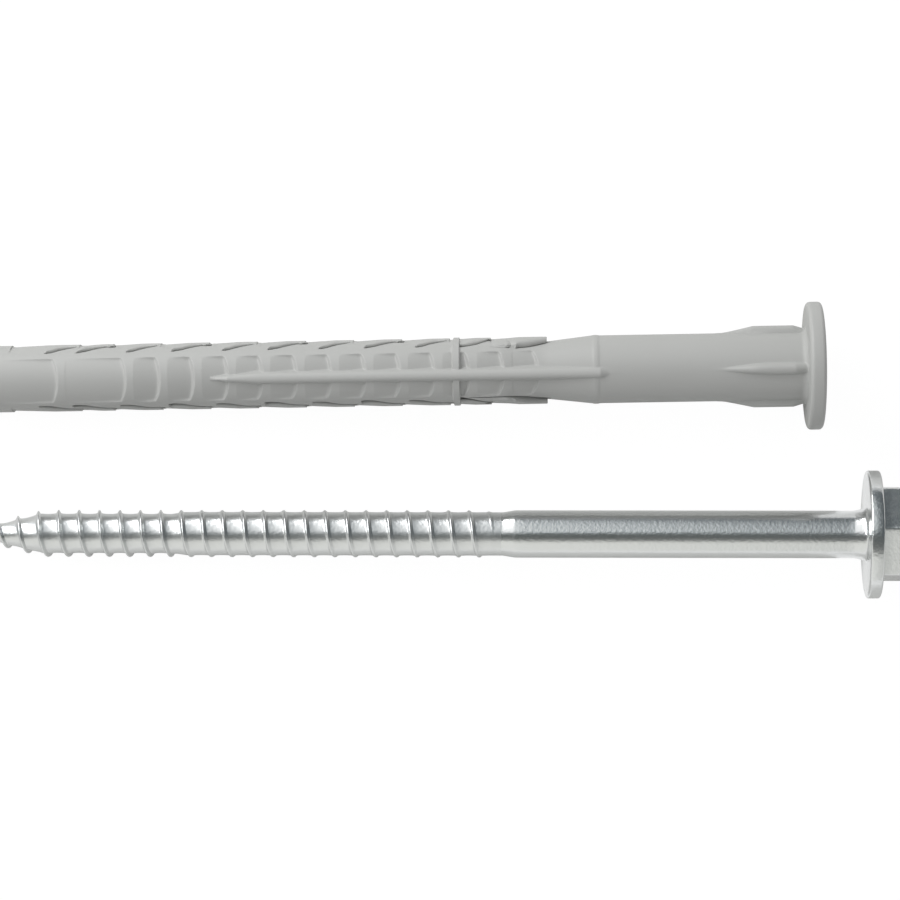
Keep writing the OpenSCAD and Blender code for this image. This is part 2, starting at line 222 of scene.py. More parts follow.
# Slots, as they are seen from the front: place, y of the body's edge, width inside, and radius of the
# shoulder on the barb's side, or size of its chamfer on the lower wing. A barb's places count from its
# free end. The upper and the lower side differ, and so do every other two barbs.
WING_UPPER = [(37.6, 4.2, 0.01, 0.4), (38.05, 4.06, 0.01, 0.4), (39.3, 3.78, 0.01, 0.5),
              (40.3, 3.6, 0.01, 0.55), (41.3, 3.49, 0.01, 0.55), (42.2, 3.48, 0.01, 0.5),
              (42.8, 3.5, 0.01, 0.3), (43.1, 3.54, 0.01, 0.12)]
WING_UPPER_END = [(43.4, 3.56, 0.02, 0.05), (43.6, 3.55, 0.1, 0.1), (43.9, 3.55, 0.1, 0.1),
                  (44.2, 3.57, 0.03, 0.06), (45.2, 3.66, 0.02, 0.05), (46.4, 3.76, 0.02, 0.05)]
WING_LOWER = [(37.6, 4.0, 0.06, 0.3), (38.05, 3.96, 0.06, 0.34), (39.3, 3.84, 0.06, 0.4),
              (41.0, 3.66, 0.06, 0.44), (42.5, 3.56, 0.06, 0.36), (43.8, 3.54, 0.08, 0.2),
              (45.0, 3.56, 0.1, 0.1), (47.0, 3.62, 0.1, 0.06), (49.6, 3.64, 0.05, 0.03)]
FIRST_UPPER = [(-0.1, 4.5, 0.1, 0.1), (0.5, 4.5, 0.04, 0.15), (1.0, 4.36, 0.02, 0.2),
               (2.0, 4.08, 0.02, 0.26), (3.0, 3.92, 0.02, 0.28), (4.0, 3.78, 0.03, 0.28),
               (4.55, 3.74, 0.04, 0.28)]
FIRST_LOWER = [(-0.2, 4.44, 0.06, 0.1), (1.0, 4.34, 0.08, 0.15), (2.0, 4.12, 0.1, 0.2),
               (3.0, 3.84, 0.16, 0.25), (4.0, 3.62, 0.26, 0.3), (4.55, 3.54, 0.32, 0.3)]
OPEN_UPPER = [(-0.45, 4.5, 0.1, 0.05), (0.5, 4.5, 0.06, 0.1), (1.0, 4.53, 0.02, 0.15),
              (2.0, 4.4, 0.015, 0.2), (3.0, 4.2, 0.015, 0.26), (4.0, 3.98, 0.02, 0.28),
              (5.0, 3.84, 0.02, 0.28), (5.4, 3.84, 0.02, 0.1)]
THIN_UPPER = [(0.4, 4.66, 0.015, 0.05), (1.0, 4.52, 0.015, 0.12), (2.0, 4.36, 0.015, 0.2),
              (3.0, 4.16, 0.015, 0.26), (4.0, 3.9, 0.02, 0.28), (4.6, 3.83, 0.02, 0.25),
              (5.0, 3.84, 0.02, 0.1)]
LONG_LOWER = [(-0.4, 4.42, 0.06, 0.05), (0.5, 4.38, 0.06, 0.1), (1.2, 4.34, 0.08, 0.15),
              (2.0, 4.24, 0.08, 0.2), (3.0, 4.06, 0.1, 0.25), (4.0, 3.86, 0.12, 0.3),
              (5.0, 3.8, 0.14, 0.3), (5.8, 3.84, 0.12, 0.3), (6.05, 3.88, 0.08, 0.15)]
SHORT_LOWER = [(-0.45, 4.42, 0.06, 0.05), (0.5, 4.42, 0.06, 0.1), (1.2, 4.4, 0.06, 0.15),
               (2.0, 4.34, 0.08, 0.2), (3.0, 4.16, 0.1, 0.25), (4.0, 3.96, 0.12, 0.3),
               (5.0, 3.88, 0.1, 0.28), (5.8, 3.9, 0.06, 0.2), (6.1, 3.94, 0.04, 0.1)]


def body_radius(z):
    """Radius of the body between the slots: it rises slowly from the waist, and the barbs stand over it."""
    return profile(z, BODY)


def pockets():
    """Each pocket's end wall, length, and radius of its floor at the wall and where it runs out."""
    made = [(WAIST_AT, ZONE_AT - WAIST_AT - 0.05, *WAIST_FLOOR)]
    # Eleven pockets are one pitch long and the last two are two pitches long
    plan = [(k, 1, POCKET_DEPTH) for k in range(1, 12)] + [(k, 2, LONG_DEPTH) for k in (12, 14)]
    for k, pitches, depth in plan:
        wall_at = WAIST_AT + k * POCKET_PITCH
        length = pitches * POCKET_PITCH - CREST_LEN
        made.append((wall_at, length, body_radius(wall_at) - depth, body_radius(wall_at + length) - RUN_OUT))
    return made


POCKETS = pockets()


def sleeve_radius(z):
    """Radius of the turned form that all the sleeve's details stand on."""
    hollow = np.clip(COLLAR_FILLET - z, 0, COLLAR_FILLET)
    fillet = COLLAR_FILLET - np.sqrt(np.maximum(0, COLLAR_FILLET ** 2 - hollow ** 2))
    middle, half = sum(BEAD) / 2, (BEAD[1] - BEAD[0]) / 2
    bead = BEAD_H * ease(1.6 * (1 - np.abs(z - middle) / half))
    return profile(z, TURNED) + fillet + bead


def ring_height(reach, z):
    """The ring round the zone, as a height over the axis where the ring's own surface is at reach."""
    return reach - np.maximum(0, np.maximum(RING[0] - z, z - RING[1])) / RING_LEAN


def half_round(side, half, crest, lean=0):
    """Section of a rib: a round back, highest at -lean, on steep flanks."""
    out = np.where(side > -lean, (side + lean) / (half + lean), -(side + lean) / (half - lean))
    back = np.sqrt(np.maximum(0.04, 1 - np.minimum(out, 1) ** 2))
    return crest - half * (1 - back) - FLANK_FALL * np.maximum(0, np.abs(side) - FLANK_FROM * half)


def neck_rib(side, z, radius):
    """The surface with a neck rib on it, at a distance side from the rib's middle."""
    rib = half_round(side, profile(z, NECK_RIB_HALF), profile(z, NECK_RIB_CREST))
    return np.where(z < NECK_RIB_END, above(radius, np.maximum(rib, radius - 2), NECK_RIB_FILLET), radius)


def pocket_floor(y, z, pocket):
    """What a pocket leaves: its floor, its leaning end wall, its two sides and the rib's flank."""
    at, length, low, high = pocket
    floor_r = low + (high - low) * (z - at) / length + np.maximum(0, z - at - length) / 0.1
    floor = circle(high, y) + floor_r - high
    wall = body_radius(at) - (z - at) / WALL_LEAN
    radius = body_radius(z)
    over = np.sqrt(radius ** 2 - POCKET_TOP ** 2) + (y - POCKET_TOP) / TOP_LEAN
    under = np.sqrt(radius ** 2 - POCKET_LOW ** 2) + (-y - POCKET_LOW) / LOW_LEAN
    flank = radius - (np.abs(y + RIB_SHIFT) - profile(z, RIB_FOOT)) / FLANK_LEAN
    left = above(above(above(floor, wall, WALL_FILLET), under, LOW_FILLET), over, TOP_FILLET)
    return above(left, flank, FLANK_FILLET)


def front_height(y, z):
    """The front of the sleeve, seen along the mould's pull, as a height over the axis."""
    height = circle(np.where(z < BEAD[1], sleeve_radius(z), body_radius(z)), y)
    for pocket in POCKETS:
        height = below(height, pocket_floor(y, z, pocket), RIM_ROLL)
    ring = ring_height(circle(RING_R, y), z)
    height = np.where(np.abs(z - RING[0]) < 3, above(height, ring, RING_FILLET), height)
    half = profile(z, RIB_HALF)
    rib = half_round(y + RIB_SHIFT, half, profile(z, RIB_CREST), RIB_LEAN * half)
    rib = np.where((z > RIB_FROM - 0.4) & (z < RIB_END + 0.3), rib, -9)
    height = above(height, np.maximum(rib, height - 2), RIB_FILLET)
    return neck_rib(y, z, height)


def barb_radius(z):
    """Each barb is highest at its free end and sinks towards its root."""
    barb = sleeve_radius(z)
    for start, end in zip(SAW[:-1], SAW[1:]):
        fall = np.maximum(0, (z - start) / (end - start) - 0.4) / 0.6
        barb = np.where((z >= start) & (z < end), np.minimum(barb, BARB_TOP - BARB_DROP * fall), barb)
    return barb


def slot_line(z):
    """Distance from the middle plane at which the barbs begin, and the width over which they rise."""
    knots = [(WING_AT, FRONT_EDGE, 0.1), (BARBS[0] - 0.6, FRONT_EDGE, 0.1)]
    for free_end, following in zip(BARBS, BARBS[1:] + [LAST_STEP]):
        reach = following - free_end
        run = BARB_EDGE + [(6, ROOT_Y, ROOT_WIDTH), (reach - 0.55, ROOT_Y, ROOT_WIDTH)]
        knots += [(free_end + d, y, width) for d, y, width in run if d < reach - 0.51]
    at, y, width = np.array(sorted(knots)).T
    return np.interp(z, at, y), np.interp(z, at, width)


def side_radius(angle, z):
    """Radius of the barbed sides, at an angle in degrees from the front."""
    barb = barb_radius(z)
    edge, width = slot_line(z)
    share = ease((barb * np.sin(np.radians(angle)) - edge) / width)
    body = np.where(z < BEAD[1], barb, body_radius(z))
    radius = np.maximum(body + share * (barb - body), ring_height(RING_R, z))
    return neck_rib(radius * np.cos(np.radians(angle)), z, radius)


def sleeve_stations():
    """Where the rings of points lie along the body: crowded at walls, steps and edges."""
    z = [0.02, 0.07, 0.15, 0.25, 0.38, 0.54, 0.72, 0.9]
    z += list(np.arange(1.1, 2.4, 0.2)) + list(np.arange(2.8, 7.5, 0.7)) + list(np.arange(7.7, 13.1, 0.36))
    z += list(np.arange(13.6, 28.5, 1.2)) + [28.7, 28.9, 29.2, 29.5, 29.8, 30.1, 30.3, 30.42, 30.54, 30.7]
    z += [30.9, 31.1, 31.26, 31.38, 31.5, 31.8] + list(np.arange(32.4, 38.6, 0.8))
    steps = BARBS + [LAST_STEP]
    fixed = [step + d for step in steps for d in (-0.04, 0.04)]
    loose = [step + d for step in steps for d in (-0.3, 0.3, 0.9)]
    wall = (-0.3, -0.12, 0, 0.1, 0.2, 0.3, 0.4, 0.5, 0.6, 0.72, 0.86, 1.06, 1.4, 2.0, 2.8, 3.4)
    for at, length, *_ in POCKETS:
        loose += [at + d for d in wall]
        loose += [at + length + d for d in (-0.17, -0.07, 0.0, 0.07, 0.17, 0.55)]
        loose += [at + d + POCKET_PITCH for d in (-0.9, 0, 1, 2, 3) if length > POCKET_PITCH]
    loose += [RING[0] + d for d in (-0.2, -0.05, 0.05, 0.4, 0.88, 0.98, 1.13)] + [43.95]
    loose += list(np.arange(114, 120, 0.9)) + [119.9, 120.1, 121, 122.5, 124, 124.7, 124.9]
    kept = sorted(z + fixed)
    for s in sorted(loose):
        if min(abs(s - k) for k in kept) > 0.055:
            kept.append(s)
    return np.array(sorted(kept))


def sleeve_columns(fine):
    """Half the columns round the sleeve: distances y across the front band, then shares of the side.

    They are fine for the front, which is looked at, and coarse for the back, which lies on the table.
    """
    if fine:
        y = np.concatenate([np.arange(0, 1.4, 0.085), [1.5, 1.7, 1.95, 2.2, 2.45, 2.65, 2.8, 2.92, 3.03],
                            [3.1, 3.135, 3.148, 3.152, 3.165, 3.2, 3.27], np.arange(3.35, 3.9, 0.075)])
        side = np.arange(22) / 22.0
    else:
        y = np.array([0, 0.2, 0.4, 0.6, 0.72, 0.8, 0.95, 1.15, 1.5, 2.0, 2.5, 2.9, 3.1, 3.148, 3.152,
                      3.2, 3.4, 3.6])
        side = np.arange(12) / 12.0
    return y, side


def sleeve_ring(z, radius, fine):
    """Half a turn of points at each station, from one side (-y) over the front (+x) to the other."""
    y_half, side = sleeve_columns(fine)
    y = np.concatenate([-y_half[:0:-1], y_half])
    scale = np.maximum(1, radius / SHANK_R)[:, None]
    edge = np.arcsin(np.minimum(0.98, FRONT_EDGE * scale / radius[:, None]))
    angles = edge + (math.pi / 2 - edge) * side[None, :]
    on_body = (z >= 0.01)[:, None]
    front_y = y[None, :] * scale
    zz = z[:, None]
    # In the gripping zone the rings follow the end walls, which lean and so curve across the front
    bend = WALL_LEAN * (ZONE_R - np.sqrt(ZONE_R ** 2 - np.minimum(np.abs(y), 3.3) ** 2))
    bend = bend * ease((FRONT_EDGE - np.abs(y)) / 0.6)
    knots = [(33.5, 0)]
    for at, length, *_ in POCKETS:
        straight = 1.45 if abs(at - RING[0]) < 2 else 3.3
        knots += [(at - 0.3, 1), (at + 0.45 * straight, 1), (at + straight, 0), (at + length + 0.2, 0)]
    front_z = zz + bend[None, :] * profile(zz, knots) * on_body
    # The bore and the tip's face are slimmer than the front band. The band's outer columns run past them
    # and fold back, as two thin wedges at each side, which show as specks on the tip's face.
    front_x = np.where(on_body, front_height(front_y, front_z), circle(radius[:, None], front_y))
    side_z = zz + 0 * angles
    side_r = np.where(on_body, side_radius(np.degrees(angles), side_z), radius[:, None])
    over = np.stack([side_r * np.cos(angles), side_r * np.sin(angles), side_z], -1)
    back_over = over[:, ::-1] * [1, -1, 1]
    front = np.stack([front_x, front_y + 0 * front_x, front_z], -1)
    summit_r = np.where(on_body[:, 0], side_radius(np.full_like(z, 90.0), z), radius)
    summit = np.stack([0 * z, -summit_r, z], -1)[:, None]
    return np.concatenate([summit, back_over, front, over], 1)


def sleeve_skin():
    """Collar, body, tip and bore as rings of points, closed to one skin."""
    e = COLLAR_EDGE
    head = [[NECK_BORE_R, 0.2 - COLLAR_T], [NECK_BORE_R + 0.05, 0.06 - COLLAR_T],
            [NECK_BORE_R + 0.2, -COLLAR_T]]
    head += [[r, -COLLAR_T] for r in (4.6, 6.0, 7.6, 8.5)]
    head += arc([COLLAR_R - e, e - COLLAR_T], e, -90, 0, 7)
    head += arc([COLLAR_R - e, -e], e, 0, 90, 7)
    head += [[r, 0.0] for r in (8.3, 7.4, 6.5)] + [[SHANK_R + COLLAR_FILLET, 0.0]]
    outer = [[sleeve_radius(z), z] for z in sleeve_stations()]
    tip = [[TIP_R - 0.12, SLEEVE_LEN], [3.3, SLEEVE_LEN], [2.9, SLEEVE_LEN], [ZONE_BORE_R, SLEEVE_LEN - 0.3]]
    bore = [[ZONE_BORE_R, z] for z in np.linspace(ZONE_END, BORE_CONE[1] + 1, 12)]
    bore += [[ZONE_BORE_R, BORE_CONE[1]], [NECK_BORE_R, BORE_CONE[0]]]
    bore += [[NECK_BORE_R, z] for z in (25, 15, 5)]
    rings = []
    for run, turned in ((head, True), (outer, False), (tip + bore, True)):
        r, z = np.array(run, float).T
        halves = []
        for fine, sign in ((True, 1), (False, -1)):
            ring = sleeve_ring(np.full_like(z, -1.0) if turned else z, r, fine)
            if turned:
                ring[..., 2] = z[:, None]
            halves.append(ring * [sign, sign, 1])
        rings.append(np.concatenate(halves, 1))
    points = np.concatenate(rings)
    rows, cols = points.shape[:2]
    return points.reshape(-1, 3), [face[::-1] for face in grid_faces(rows, cols, close_rows=True)]


def shoulder(outer, near, roll):
    """The barb's rounded edge on a slot, as points [x, y] from its top down into the slot."""
    roll = min(roll, 0.45 * (outer - near))
    centre = outer - roll
    start = math.asin((near + roll) / centre)
    return [[centre * math.cos(start) + roll * math.cos(t), centre * math.sin(start) + roll * math.sin(t)]
            for t in np.linspace(start, -math.pi / 2, 8)]


def chamfer(outer, near, size):
    """The lower wing's edge on its slot, which slopes down to the body, as points [x, y]."""
    end = near + 2 * size
    top = math.sqrt(outer ** 2 - end ** 2)
    return [[top - 2.6 * t * size, end - 2 * t * size] for t in np.linspace(0, 1, 8)]


def groove(path, side, through=True, edge=shoulder):
    """A slot beside a barb: upright on the body's side, with a shoulder or a chamfer on the barb's side."""
    cuts = [[]] if through else [[], []]
    for z, y, width, size in path:
        near = y + width
        outer = max(near + 0.15, ZONE_R if z < BARBS[0] - 1 else float(barb_radius(np.float64(z))))
        rim = edge(outer, near, size)
        half = [[TOOL_REACH, y], [TOOL_REACH, rim[0][1] + 0.03]] + rim
        if through:
            outlines = [half + [[-x, v] for x, v in half[::-1]]]
        else:
            half += [[MIDDLE_WALL, near], [MIDDLE_WALL, y]]
            outlines = [half, [[-x, v] for x, v in half]]
        for sections, outline in zip(cuts, outlines):
            sections.append([[x, side * v, z] for x, v in outline])
    return [loft(sections) for sections in cuts]


def slots():
    """The slots that free each wing and barb from the wall, and the slit that lets the zone spread.

    They come in sets, in each of which no two touch.
    """
    beside_wings = groove(WING_UPPER, 1, False) + groove(WING_UPPER_END, 1, False)
    beside_wings += groove(WING_LOWER, -1, False, chamfer)
    beside_barbs = []
    for k, free_end in enumerate(BARBS):
        upper = FIRST_UPPER if k == 0 else OPEN_UPPER if k % 2 == 0 else THIN_UPPER
        lower = FIRST_LOWER if k == 0 else LONG_LOWER if k % 2 == 0 else SHORT_LOWER
        for path, side in ((upper, 1), (lower, -1)):
            beside_barbs += groove([(free_end + d, *rest) for d, *rest in path], side)
    from_z, to_z, back, front = SLIT
    box = [[back, -SLIT_REACH], [front, -SLIT_REACH], [front, SLIT_REACH], [back, SLIT_REACH]]
    slit = loft([[[x, y, z] for x, y in box] for z in (from_z, to_z)])
    return [gather(beside_wings), gather(beside_barbs), slit]


def wings():
    """The two wings that stand over the waist, with a wedge of air under them."""
    solids = []
    for sign, path in ((1, WING_UPPER + WING_UPPER_END), (-1, WING_LOWER)):
        sections = []
        for z, outer, inner, rise in WING_SECTIONS:
            edge = profile(z, [(at, y + width / 2) for at, y, width, _ in path])
            # Where its edge rises softly, the wing grows out of the body
            foot = float(body_radius(z)) - 0.05 if rise > 0.1 else outer
            start, low = math.asin(edge / foot), math.asin(edge / inner)
            dense = start + np.linspace(0, 0.3, 9)
            turns = np.concatenate([dense, np.linspace(start + 0.35, math.pi / 2, 8)])
            turns = np.concatenate([turns, math.pi - turns[-2::-1]])
            radii = foot + (outer - foot) * ease((foot * np.minimum(1, np.sin(turns)) - edge) / rise)
            out = [[r * math.cos(t), r * math.sin(t)] for r, t in zip(radii, turns)]
            back = [[inner * math.cos(t), inner * math.sin(t)] for t in np.linspace(math.pi - low, low, 18)]
            sections.append([[x, sign * y, z] for x, y in out + back])
        solids.append(loft(sections))
    return gather(solids)


def make_sleeve():
    """The sleeve as one solid: its skin, joined with the wings and cut by the slots."""
    body = link("nylon_sleeve", *sleeve_skin())
    cut(body, link("wings", *wings()), "UNION")
    for tool in slots():
        cut(body, link("slot", *tool), "DIFFERENCE")
    return body


# The screw

SCREW_LEN, SCREW_R, CORE_R, SLIM_R, SLIM_AT = 134.0, 3.5, 3.2, 2.9, 100.0
SHANK_END, NECK_END, THREAD_AT, PITCH = 51.6, 53.4, 55.28, 3.06
HELIX_FROM = 53.6          # the thread's skin takes over from the turned neck here
CREST_HALF, CREST_FLANK = 0.04, 0.38  # half the crest's flat, and the run of each flank
HOLLOW, HOLLOW_TOP = 0.25, 0.88  # share of the thread's height that its hollow root takes, and its end
POINT_ANGLE = math.radians(13.6)
FLANGE_R, FLANGE_T, FLANGE_EDGE = 9.4, 2.0, 0.35
HEX_AF, HEX_H, HEX_FACE_R = 13.0, 5.6, 6.045
HEX_CUT, HEX_CORNER = 0.06, 0.1  # how far its corners are cut back, and how softly
HEX_SLOPE = math.tan(math.radians(30))
WELD = 0.002               # points closer than this are one
# The fillet under the flange: share of its width, and place
FILLET_W = 0.6
FILLET = [(0, 1.92), (0.015, 1.82), (0.08, 1.6), (0.2, 1.22), (0.34, 0.82), (0.48, 0.5), (0.64, 0.24),
          (0.8, 0.08), (1, 0)]


def core_radius(z):
    """Radius at the thread's root: a little slimmer towards the tip, then the point."""
    thick = CORE_R + (SLIM_R - CORE_R) * ease((z - SLIM_AT) / PITCH)
    return np.minimum(thick, np.maximum(0, (SCREW_LEN - z) * math.tan(POINT_ANGLE)))


def crest_radius(z):
    """Radius at the thread's crest, which rises out of the neck and sinks into the point."""
    core = core_radius(z)
    full = np.minimum(SCREW_R, core + SCREW_R - SLIM_R)
    return core + (full - core) * ease((z - THREAD_AT) / (0.6 * PITCH) + 0.4) * ease((SCREW_LEN - z) / PITCH)


def screw_angles():
    """Columns round the screw, crowded where the hexagon's corners are."""
    sixth = [0, 1.2, 2.6, 5, 9, 14, 19, 24.5, 30, 35.5, 41, 46, 51, 55, 57.4, 58.8]
    return np.array([60 * k + a for k in range(6) for a in sixth])


def thread_skin(angles):
    """The threaded end, wound along the helix so that every crest is one unbroken row of points."""
    half = [0.03, 0.1, 0.17, 0.24, 0.31, 0.39, 0.48, 0.6, 0.78, 1.0, 1.25]
    offsets = np.array([-1.5] + [-d for d in half[::-1]] + half)
    m, cols = len(offsets), len(angles)
    turns = int((SCREW_LEN - HELIX_FROM) / PITCH) + 4
    # The winding starts before HELIX_FROM and ends past the point. What lies outside is folded onto both
    # ends.
    first = THREAD_AT - 0.7 * PITCH - 1.5 * PITCH
    i = np.arange(turns * m)[:, None]
    z = first + PITCH * (i // m + angles[None, :] / 360) + offsets[i % m]
    z = np.clip(z, HELIX_FROM, SCREW_LEN)
    off = np.abs(offsets[i % m])
    crest, hollow = 1 - ease((off - CREST_HALF) / CREST_FLANK), np.clip(1 - off / (PITCH / 2), 0, 1) ** 2
    rise = (1 - HOLLOW) * crest + HOLLOW * np.minimum(1, hollow / HOLLOW_TOP)
    r = core_radius(z) + (crest_radius(z) - core_radius(z)) * rise
    r = np.where(z <= HELIX_FROM, CORE_R, np.where(z >= SCREW_LEN, 0, r))
    turn = np.radians(angles)[None, :]
    points = np.stack([r * np.cos(turn), r * np.sin(turn), z], -1)
    rows = turns * m
    faces = []
    for k in range(rows - 1):
        for j in range(cols):
            over = [k * cols + j + 1, (k + 1) * cols + j + 1]
            if j == cols - 1:
                over = [(k + m) * cols, (k + 1 + m) * cols]
            if over[1] < rows * cols:
                faces.append([k * cols + j, (k + 1) * cols + j, over[1], over[0]])
    return points.reshape(-1, 3), faces


def hexagon(angles, corner):
    """Distance from the axis to the hexagon's side, with its corners rounded."""
    from_corner = np.radians((angles + 30) % 60 - 30)
    flat = HEX_AF / 2 / np.cos(math.radians(30) - np.abs(from_corner))
    return below(flat, np.full_like(flat, HEX_AF / 2 / math.cos(math.radians(30)) - HEX_CUT), corner)


def head_skin(angles):
    """Shank, flange and hexagon as rings of points, from the thread's foot to the middle of the top."""
    taper = [(CORE_R + t * (SCREW_R - CORE_R), NECK_END + t * (SHANK_END - NECK_END))
             for t in (0.2, 0.5, 0.8)]
    plain = [(CORE_R, HELIX_FROM), (CORE_R, NECK_END + 0.08), (CORE_R + 0.012, NECK_END - 0.1)] + taper
    plain += [(SCREW_R - 0.012, SHANK_END + 0.1), (SCREW_R, SHANK_END - 0.1)]
    plain += [(SCREW_R, z) for z in np.linspace(50, 3, 12)]
    plain += [(SCREW_R + share * FILLET_W, z) for share, z in FILLET]
    plain += [(r, 0.0) for r in (4.7, 6, 7.6, 8.6)]
    plain += arc([FLANGE_R - FLANGE_EDGE, -FLANGE_EDGE], FLANGE_EDGE, 90, 0, 5)
    plain += arc([FLANGE_R - FLANGE_EDGE, FLANGE_EDGE - FLANGE_T], FLANGE_EDGE, 0, -90, 5)
    side = hexagon(angles, HEX_CORNER)
    top = -FLANGE_T - HEX_H
    rings = [(np.full_like(side, r), np.full_like(side, z)) for r, z in plain]
    rings += [(side + out, np.full_like(side, -FLANGE_T - up)) for out, up in
              ((0.9, 0), (0.3, 0), (0.1, 0.06), (0.03, 0.16), (0, 0.32), (0, 1.5), (0, 3), (0, 4.2))]
    edge = top + (side - HEX_FACE_R) * HEX_SLOPE
    rings += [(side, edge + 0.12), (side - 0.015, edge + 0.03), (side - 0.06, edge - 0.03)]
    for share in (0.6, 0.25):
        r = HEX_FACE_R + share * (side - HEX_FACE_R)
        rings.append((r, top + (r - HEX_FACE_R) * HEX_SLOPE))
    rings += [(np.full_like(side, r), np.full_like(side, top + z)) for r, z in
              ((HEX_FACE_R + 0.03, 0.01), (HEX_FACE_R - 0.1, 0), (4, 0), (2, 0), (0.5, 0))]
    turn = np.radians(angles)
    points = np.stack([np.stack([r * np.cos(turn), r * np.sin(turn), z], -1) for r, z in rings])
    rows, cols = points.shape[:2]
    faces = [f[::-1] for f in grid_faces(rows, cols)]
    faces.append([(rows - 1) * cols + j for j in range(cols)])
    return points.reshape(-1, 3), faces


def make_screw():
    """The screw as one solid: thread and head, welded where they meet."""
    angles = screw_angles()
    screw = link("hexagon_screw", *gather([thread_skin(angles), head_skin(angles)]))
    welded = bmesh.new()
    welded.from_mesh(screw.data)
    bmesh.ops.remove_doubles(welded, verts=welded.verts, dist=WELD)
    bmesh.ops.recalc_face_normals(welded, faces=welded.faces)
    welded.to_mesh(screw.data)
    welded.free()
    return screw


# Materials

def tone(code):
    """An sRGB hex value as a linear colour."""
    parts = [int(code[k:k + 2], 16) / 255 for k in (1, 3, 5)]
    return tuple(c / 12.92 if c <= 0.04045 else ((c + 0.055) / 1.055) ** 2.4 for c in parts) + (1,)


# Sizes of the patterns in millimetres. All but the clouds are finer on the real thing, and are drawn as
# coarse as they need to be to show.
CLOUD, GRAIN, FROST, DENT = 100 / 9, 0.4, 5 / 7, 5 / 11


def patches(size):
    """Scale of a noise whose patches have this size in millimetres."""
    return 1 / (size * MM)


def add(tree, kind, settings=None, links=None):
    """Adds a node: settings are attributes or socket values, links are sockets fed from other nodes."""
    node = tree.nodes.new(kind)
    for key, value in (settings or {}).items():
        if isinstance(key, str) and hasattr(node, key) and key not in node.inputs:
            setattr(node, key, value)
        else:
            node.inputs[key].default_value = value
    for key, source in (links or {}).items():
        tree.links.new(source, node.inputs[key])
    return node


def material(name):
    """A new material and its empty tree of nodes."""
    made = bpy.data.materials.new(name)
    made.use_nodes = True
    made.node_tree.nodes.clear()
    return made, made.node_tree


def moulded_nylon():
    """Polyamide 6, injection moulded: an even satin grey, with the faint clouding of the melt's flow."""
    made, tree = material("moulded_grey_nylon")
    where = add(tree, "ShaderNodeTexCoord").outputs["Object"]
    clouds = add(tree, "ShaderNodeTexNoise", {"Scale": patches(CLOUD), "Detail": 2.0}, {"Vector": where})
    grey = add(tree, "ShaderNodeValToRGB", {}, {"Fac": clouds.outputs["Fac"]})
    grey.color_ramp.elements[0].color = tone("#B2B3B1")
    grey.color_ramp.elements[1].color = tone("#B7B8B6")
    # The grain that the mould's spark-eroded wall leaves is about 0.05 mm, too fine to show
    grain = add(tree, "ShaderNodeTexNoise", {"Scale": patches(GRAIN), "Detail": 2.0}, {"Vector": where})
    bump = add(tree, "ShaderNodeBump", {"Strength": 0.08, "Distance": 0.02 * MM},
               {"Height": grain.outputs["Fac"]})
    skin = add(tree, "ShaderNodeBsdfPrincipled", {"Roughness": 0.5, "IOR": 1.53},
               {"Base Color": grey.outputs["Color"], "Normal": bump.outputs["Normal"]})
    add(tree, "ShaderNodeOutputMaterial", {}, {"Surface": skin.outputs["BSDF"]})
    return made


def zinc_plate(name, smoothest, roughest):
    """Bright zinc electroplated on steel: a cool, slightly frosted mirror, with dents from tumbling."""
    made, tree = material(name)
    where = add(tree, "ShaderNodeTexCoord").outputs["Object"]
    # The frost and the dents of real plating are about 0.1 mm, too fine to show
    frost = add(tree, "ShaderNodeTexNoise", {"Scale": patches(FROST), "Detail": 3.0, "Roughness": 0.6},
                {"Vector": where})
    rough = add(tree, "ShaderNodeMapRange", {"To Min": smoothest, "To Max": roughest},
                {"Value": frost.outputs["Fac"]})
    dents = add(tree, "ShaderNodeTexNoise", {"Scale": patches(DENT), "Detail": 2.0}, {"Vector": where})
    bump = add(tree, "ShaderNodeBump", {"Strength": 0.7, "Distance": 0.04 * MM},
               {"Height": dents.outputs["Fac"]})
    metal = add(tree, "ShaderNodeBsdfPrincipled", {"Base Color": tone("#DCDEDE"), "Metallic": 1.0},
                {"Roughness": rough.outputs["Result"], "Normal": bump.outputs["Normal"]})
    add(tree, "ShaderNodeOutputMaterial", {}, {"Surface": metal.outputs["BSDF"]})
    return made


def seen_white(tree):
    """1 where the camera, a gloss or a glass looks, 0 where light only bounces."""
    path = add(tree, "ShaderNodeLightPath")
    total = path.outputs["Is Camera Ray"]
    for name in ("Is Glossy Ray", "Is Transmission Ray"):
        total = add(tree, "ShaderNodeMath", {"operation": "MAXIMUM"}, {0: total, 1: path.outputs[name]})
        total = total.outputs[0]
    return total


def white_table():
    """A white laminate table. The eye sees it as plain white, with only the pieces' soft shadow."""
    made, tree = material("white_laminate")
    bounce = add(tree, "ShaderNodeBsdfDiffuse", {"Color": tone("#E9E9E7")})
    faint = add(tree, "ShaderNodeBsdfDiffuse", {"Color": tone("#525252")})
    glow = add(tree, "ShaderNodeEmission", {"Color": (1, 1, 1, 1), "Strength": 0.955})
    seen = add(tree, "ShaderNodeAddShader", {}, {0: faint.outputs[0], 1: glow.outputs[0]})
    both = add(tree, "ShaderNodeMixShader", {},
               {0: seen_white(tree), 1: bounce.outputs[0], 2: seen.outputs[0]})
    add(tree, "ShaderNodeOutputMaterial", {}, {"Surface": both.outputs[0]})
    return made


def white_paper():
    """Matt white paper, which takes light and shade, so that the steel mirrors both."""
    made, tree = material("white_paper")
    paper = add(tree, "ShaderNodeBsdfDiffuse", {"Color": tone("#F2F2F0")})
    add(tree, "ShaderNodeOutputMaterial", {}, {"Surface": paper.outputs[0]})
    return made


# Stage, light and camera

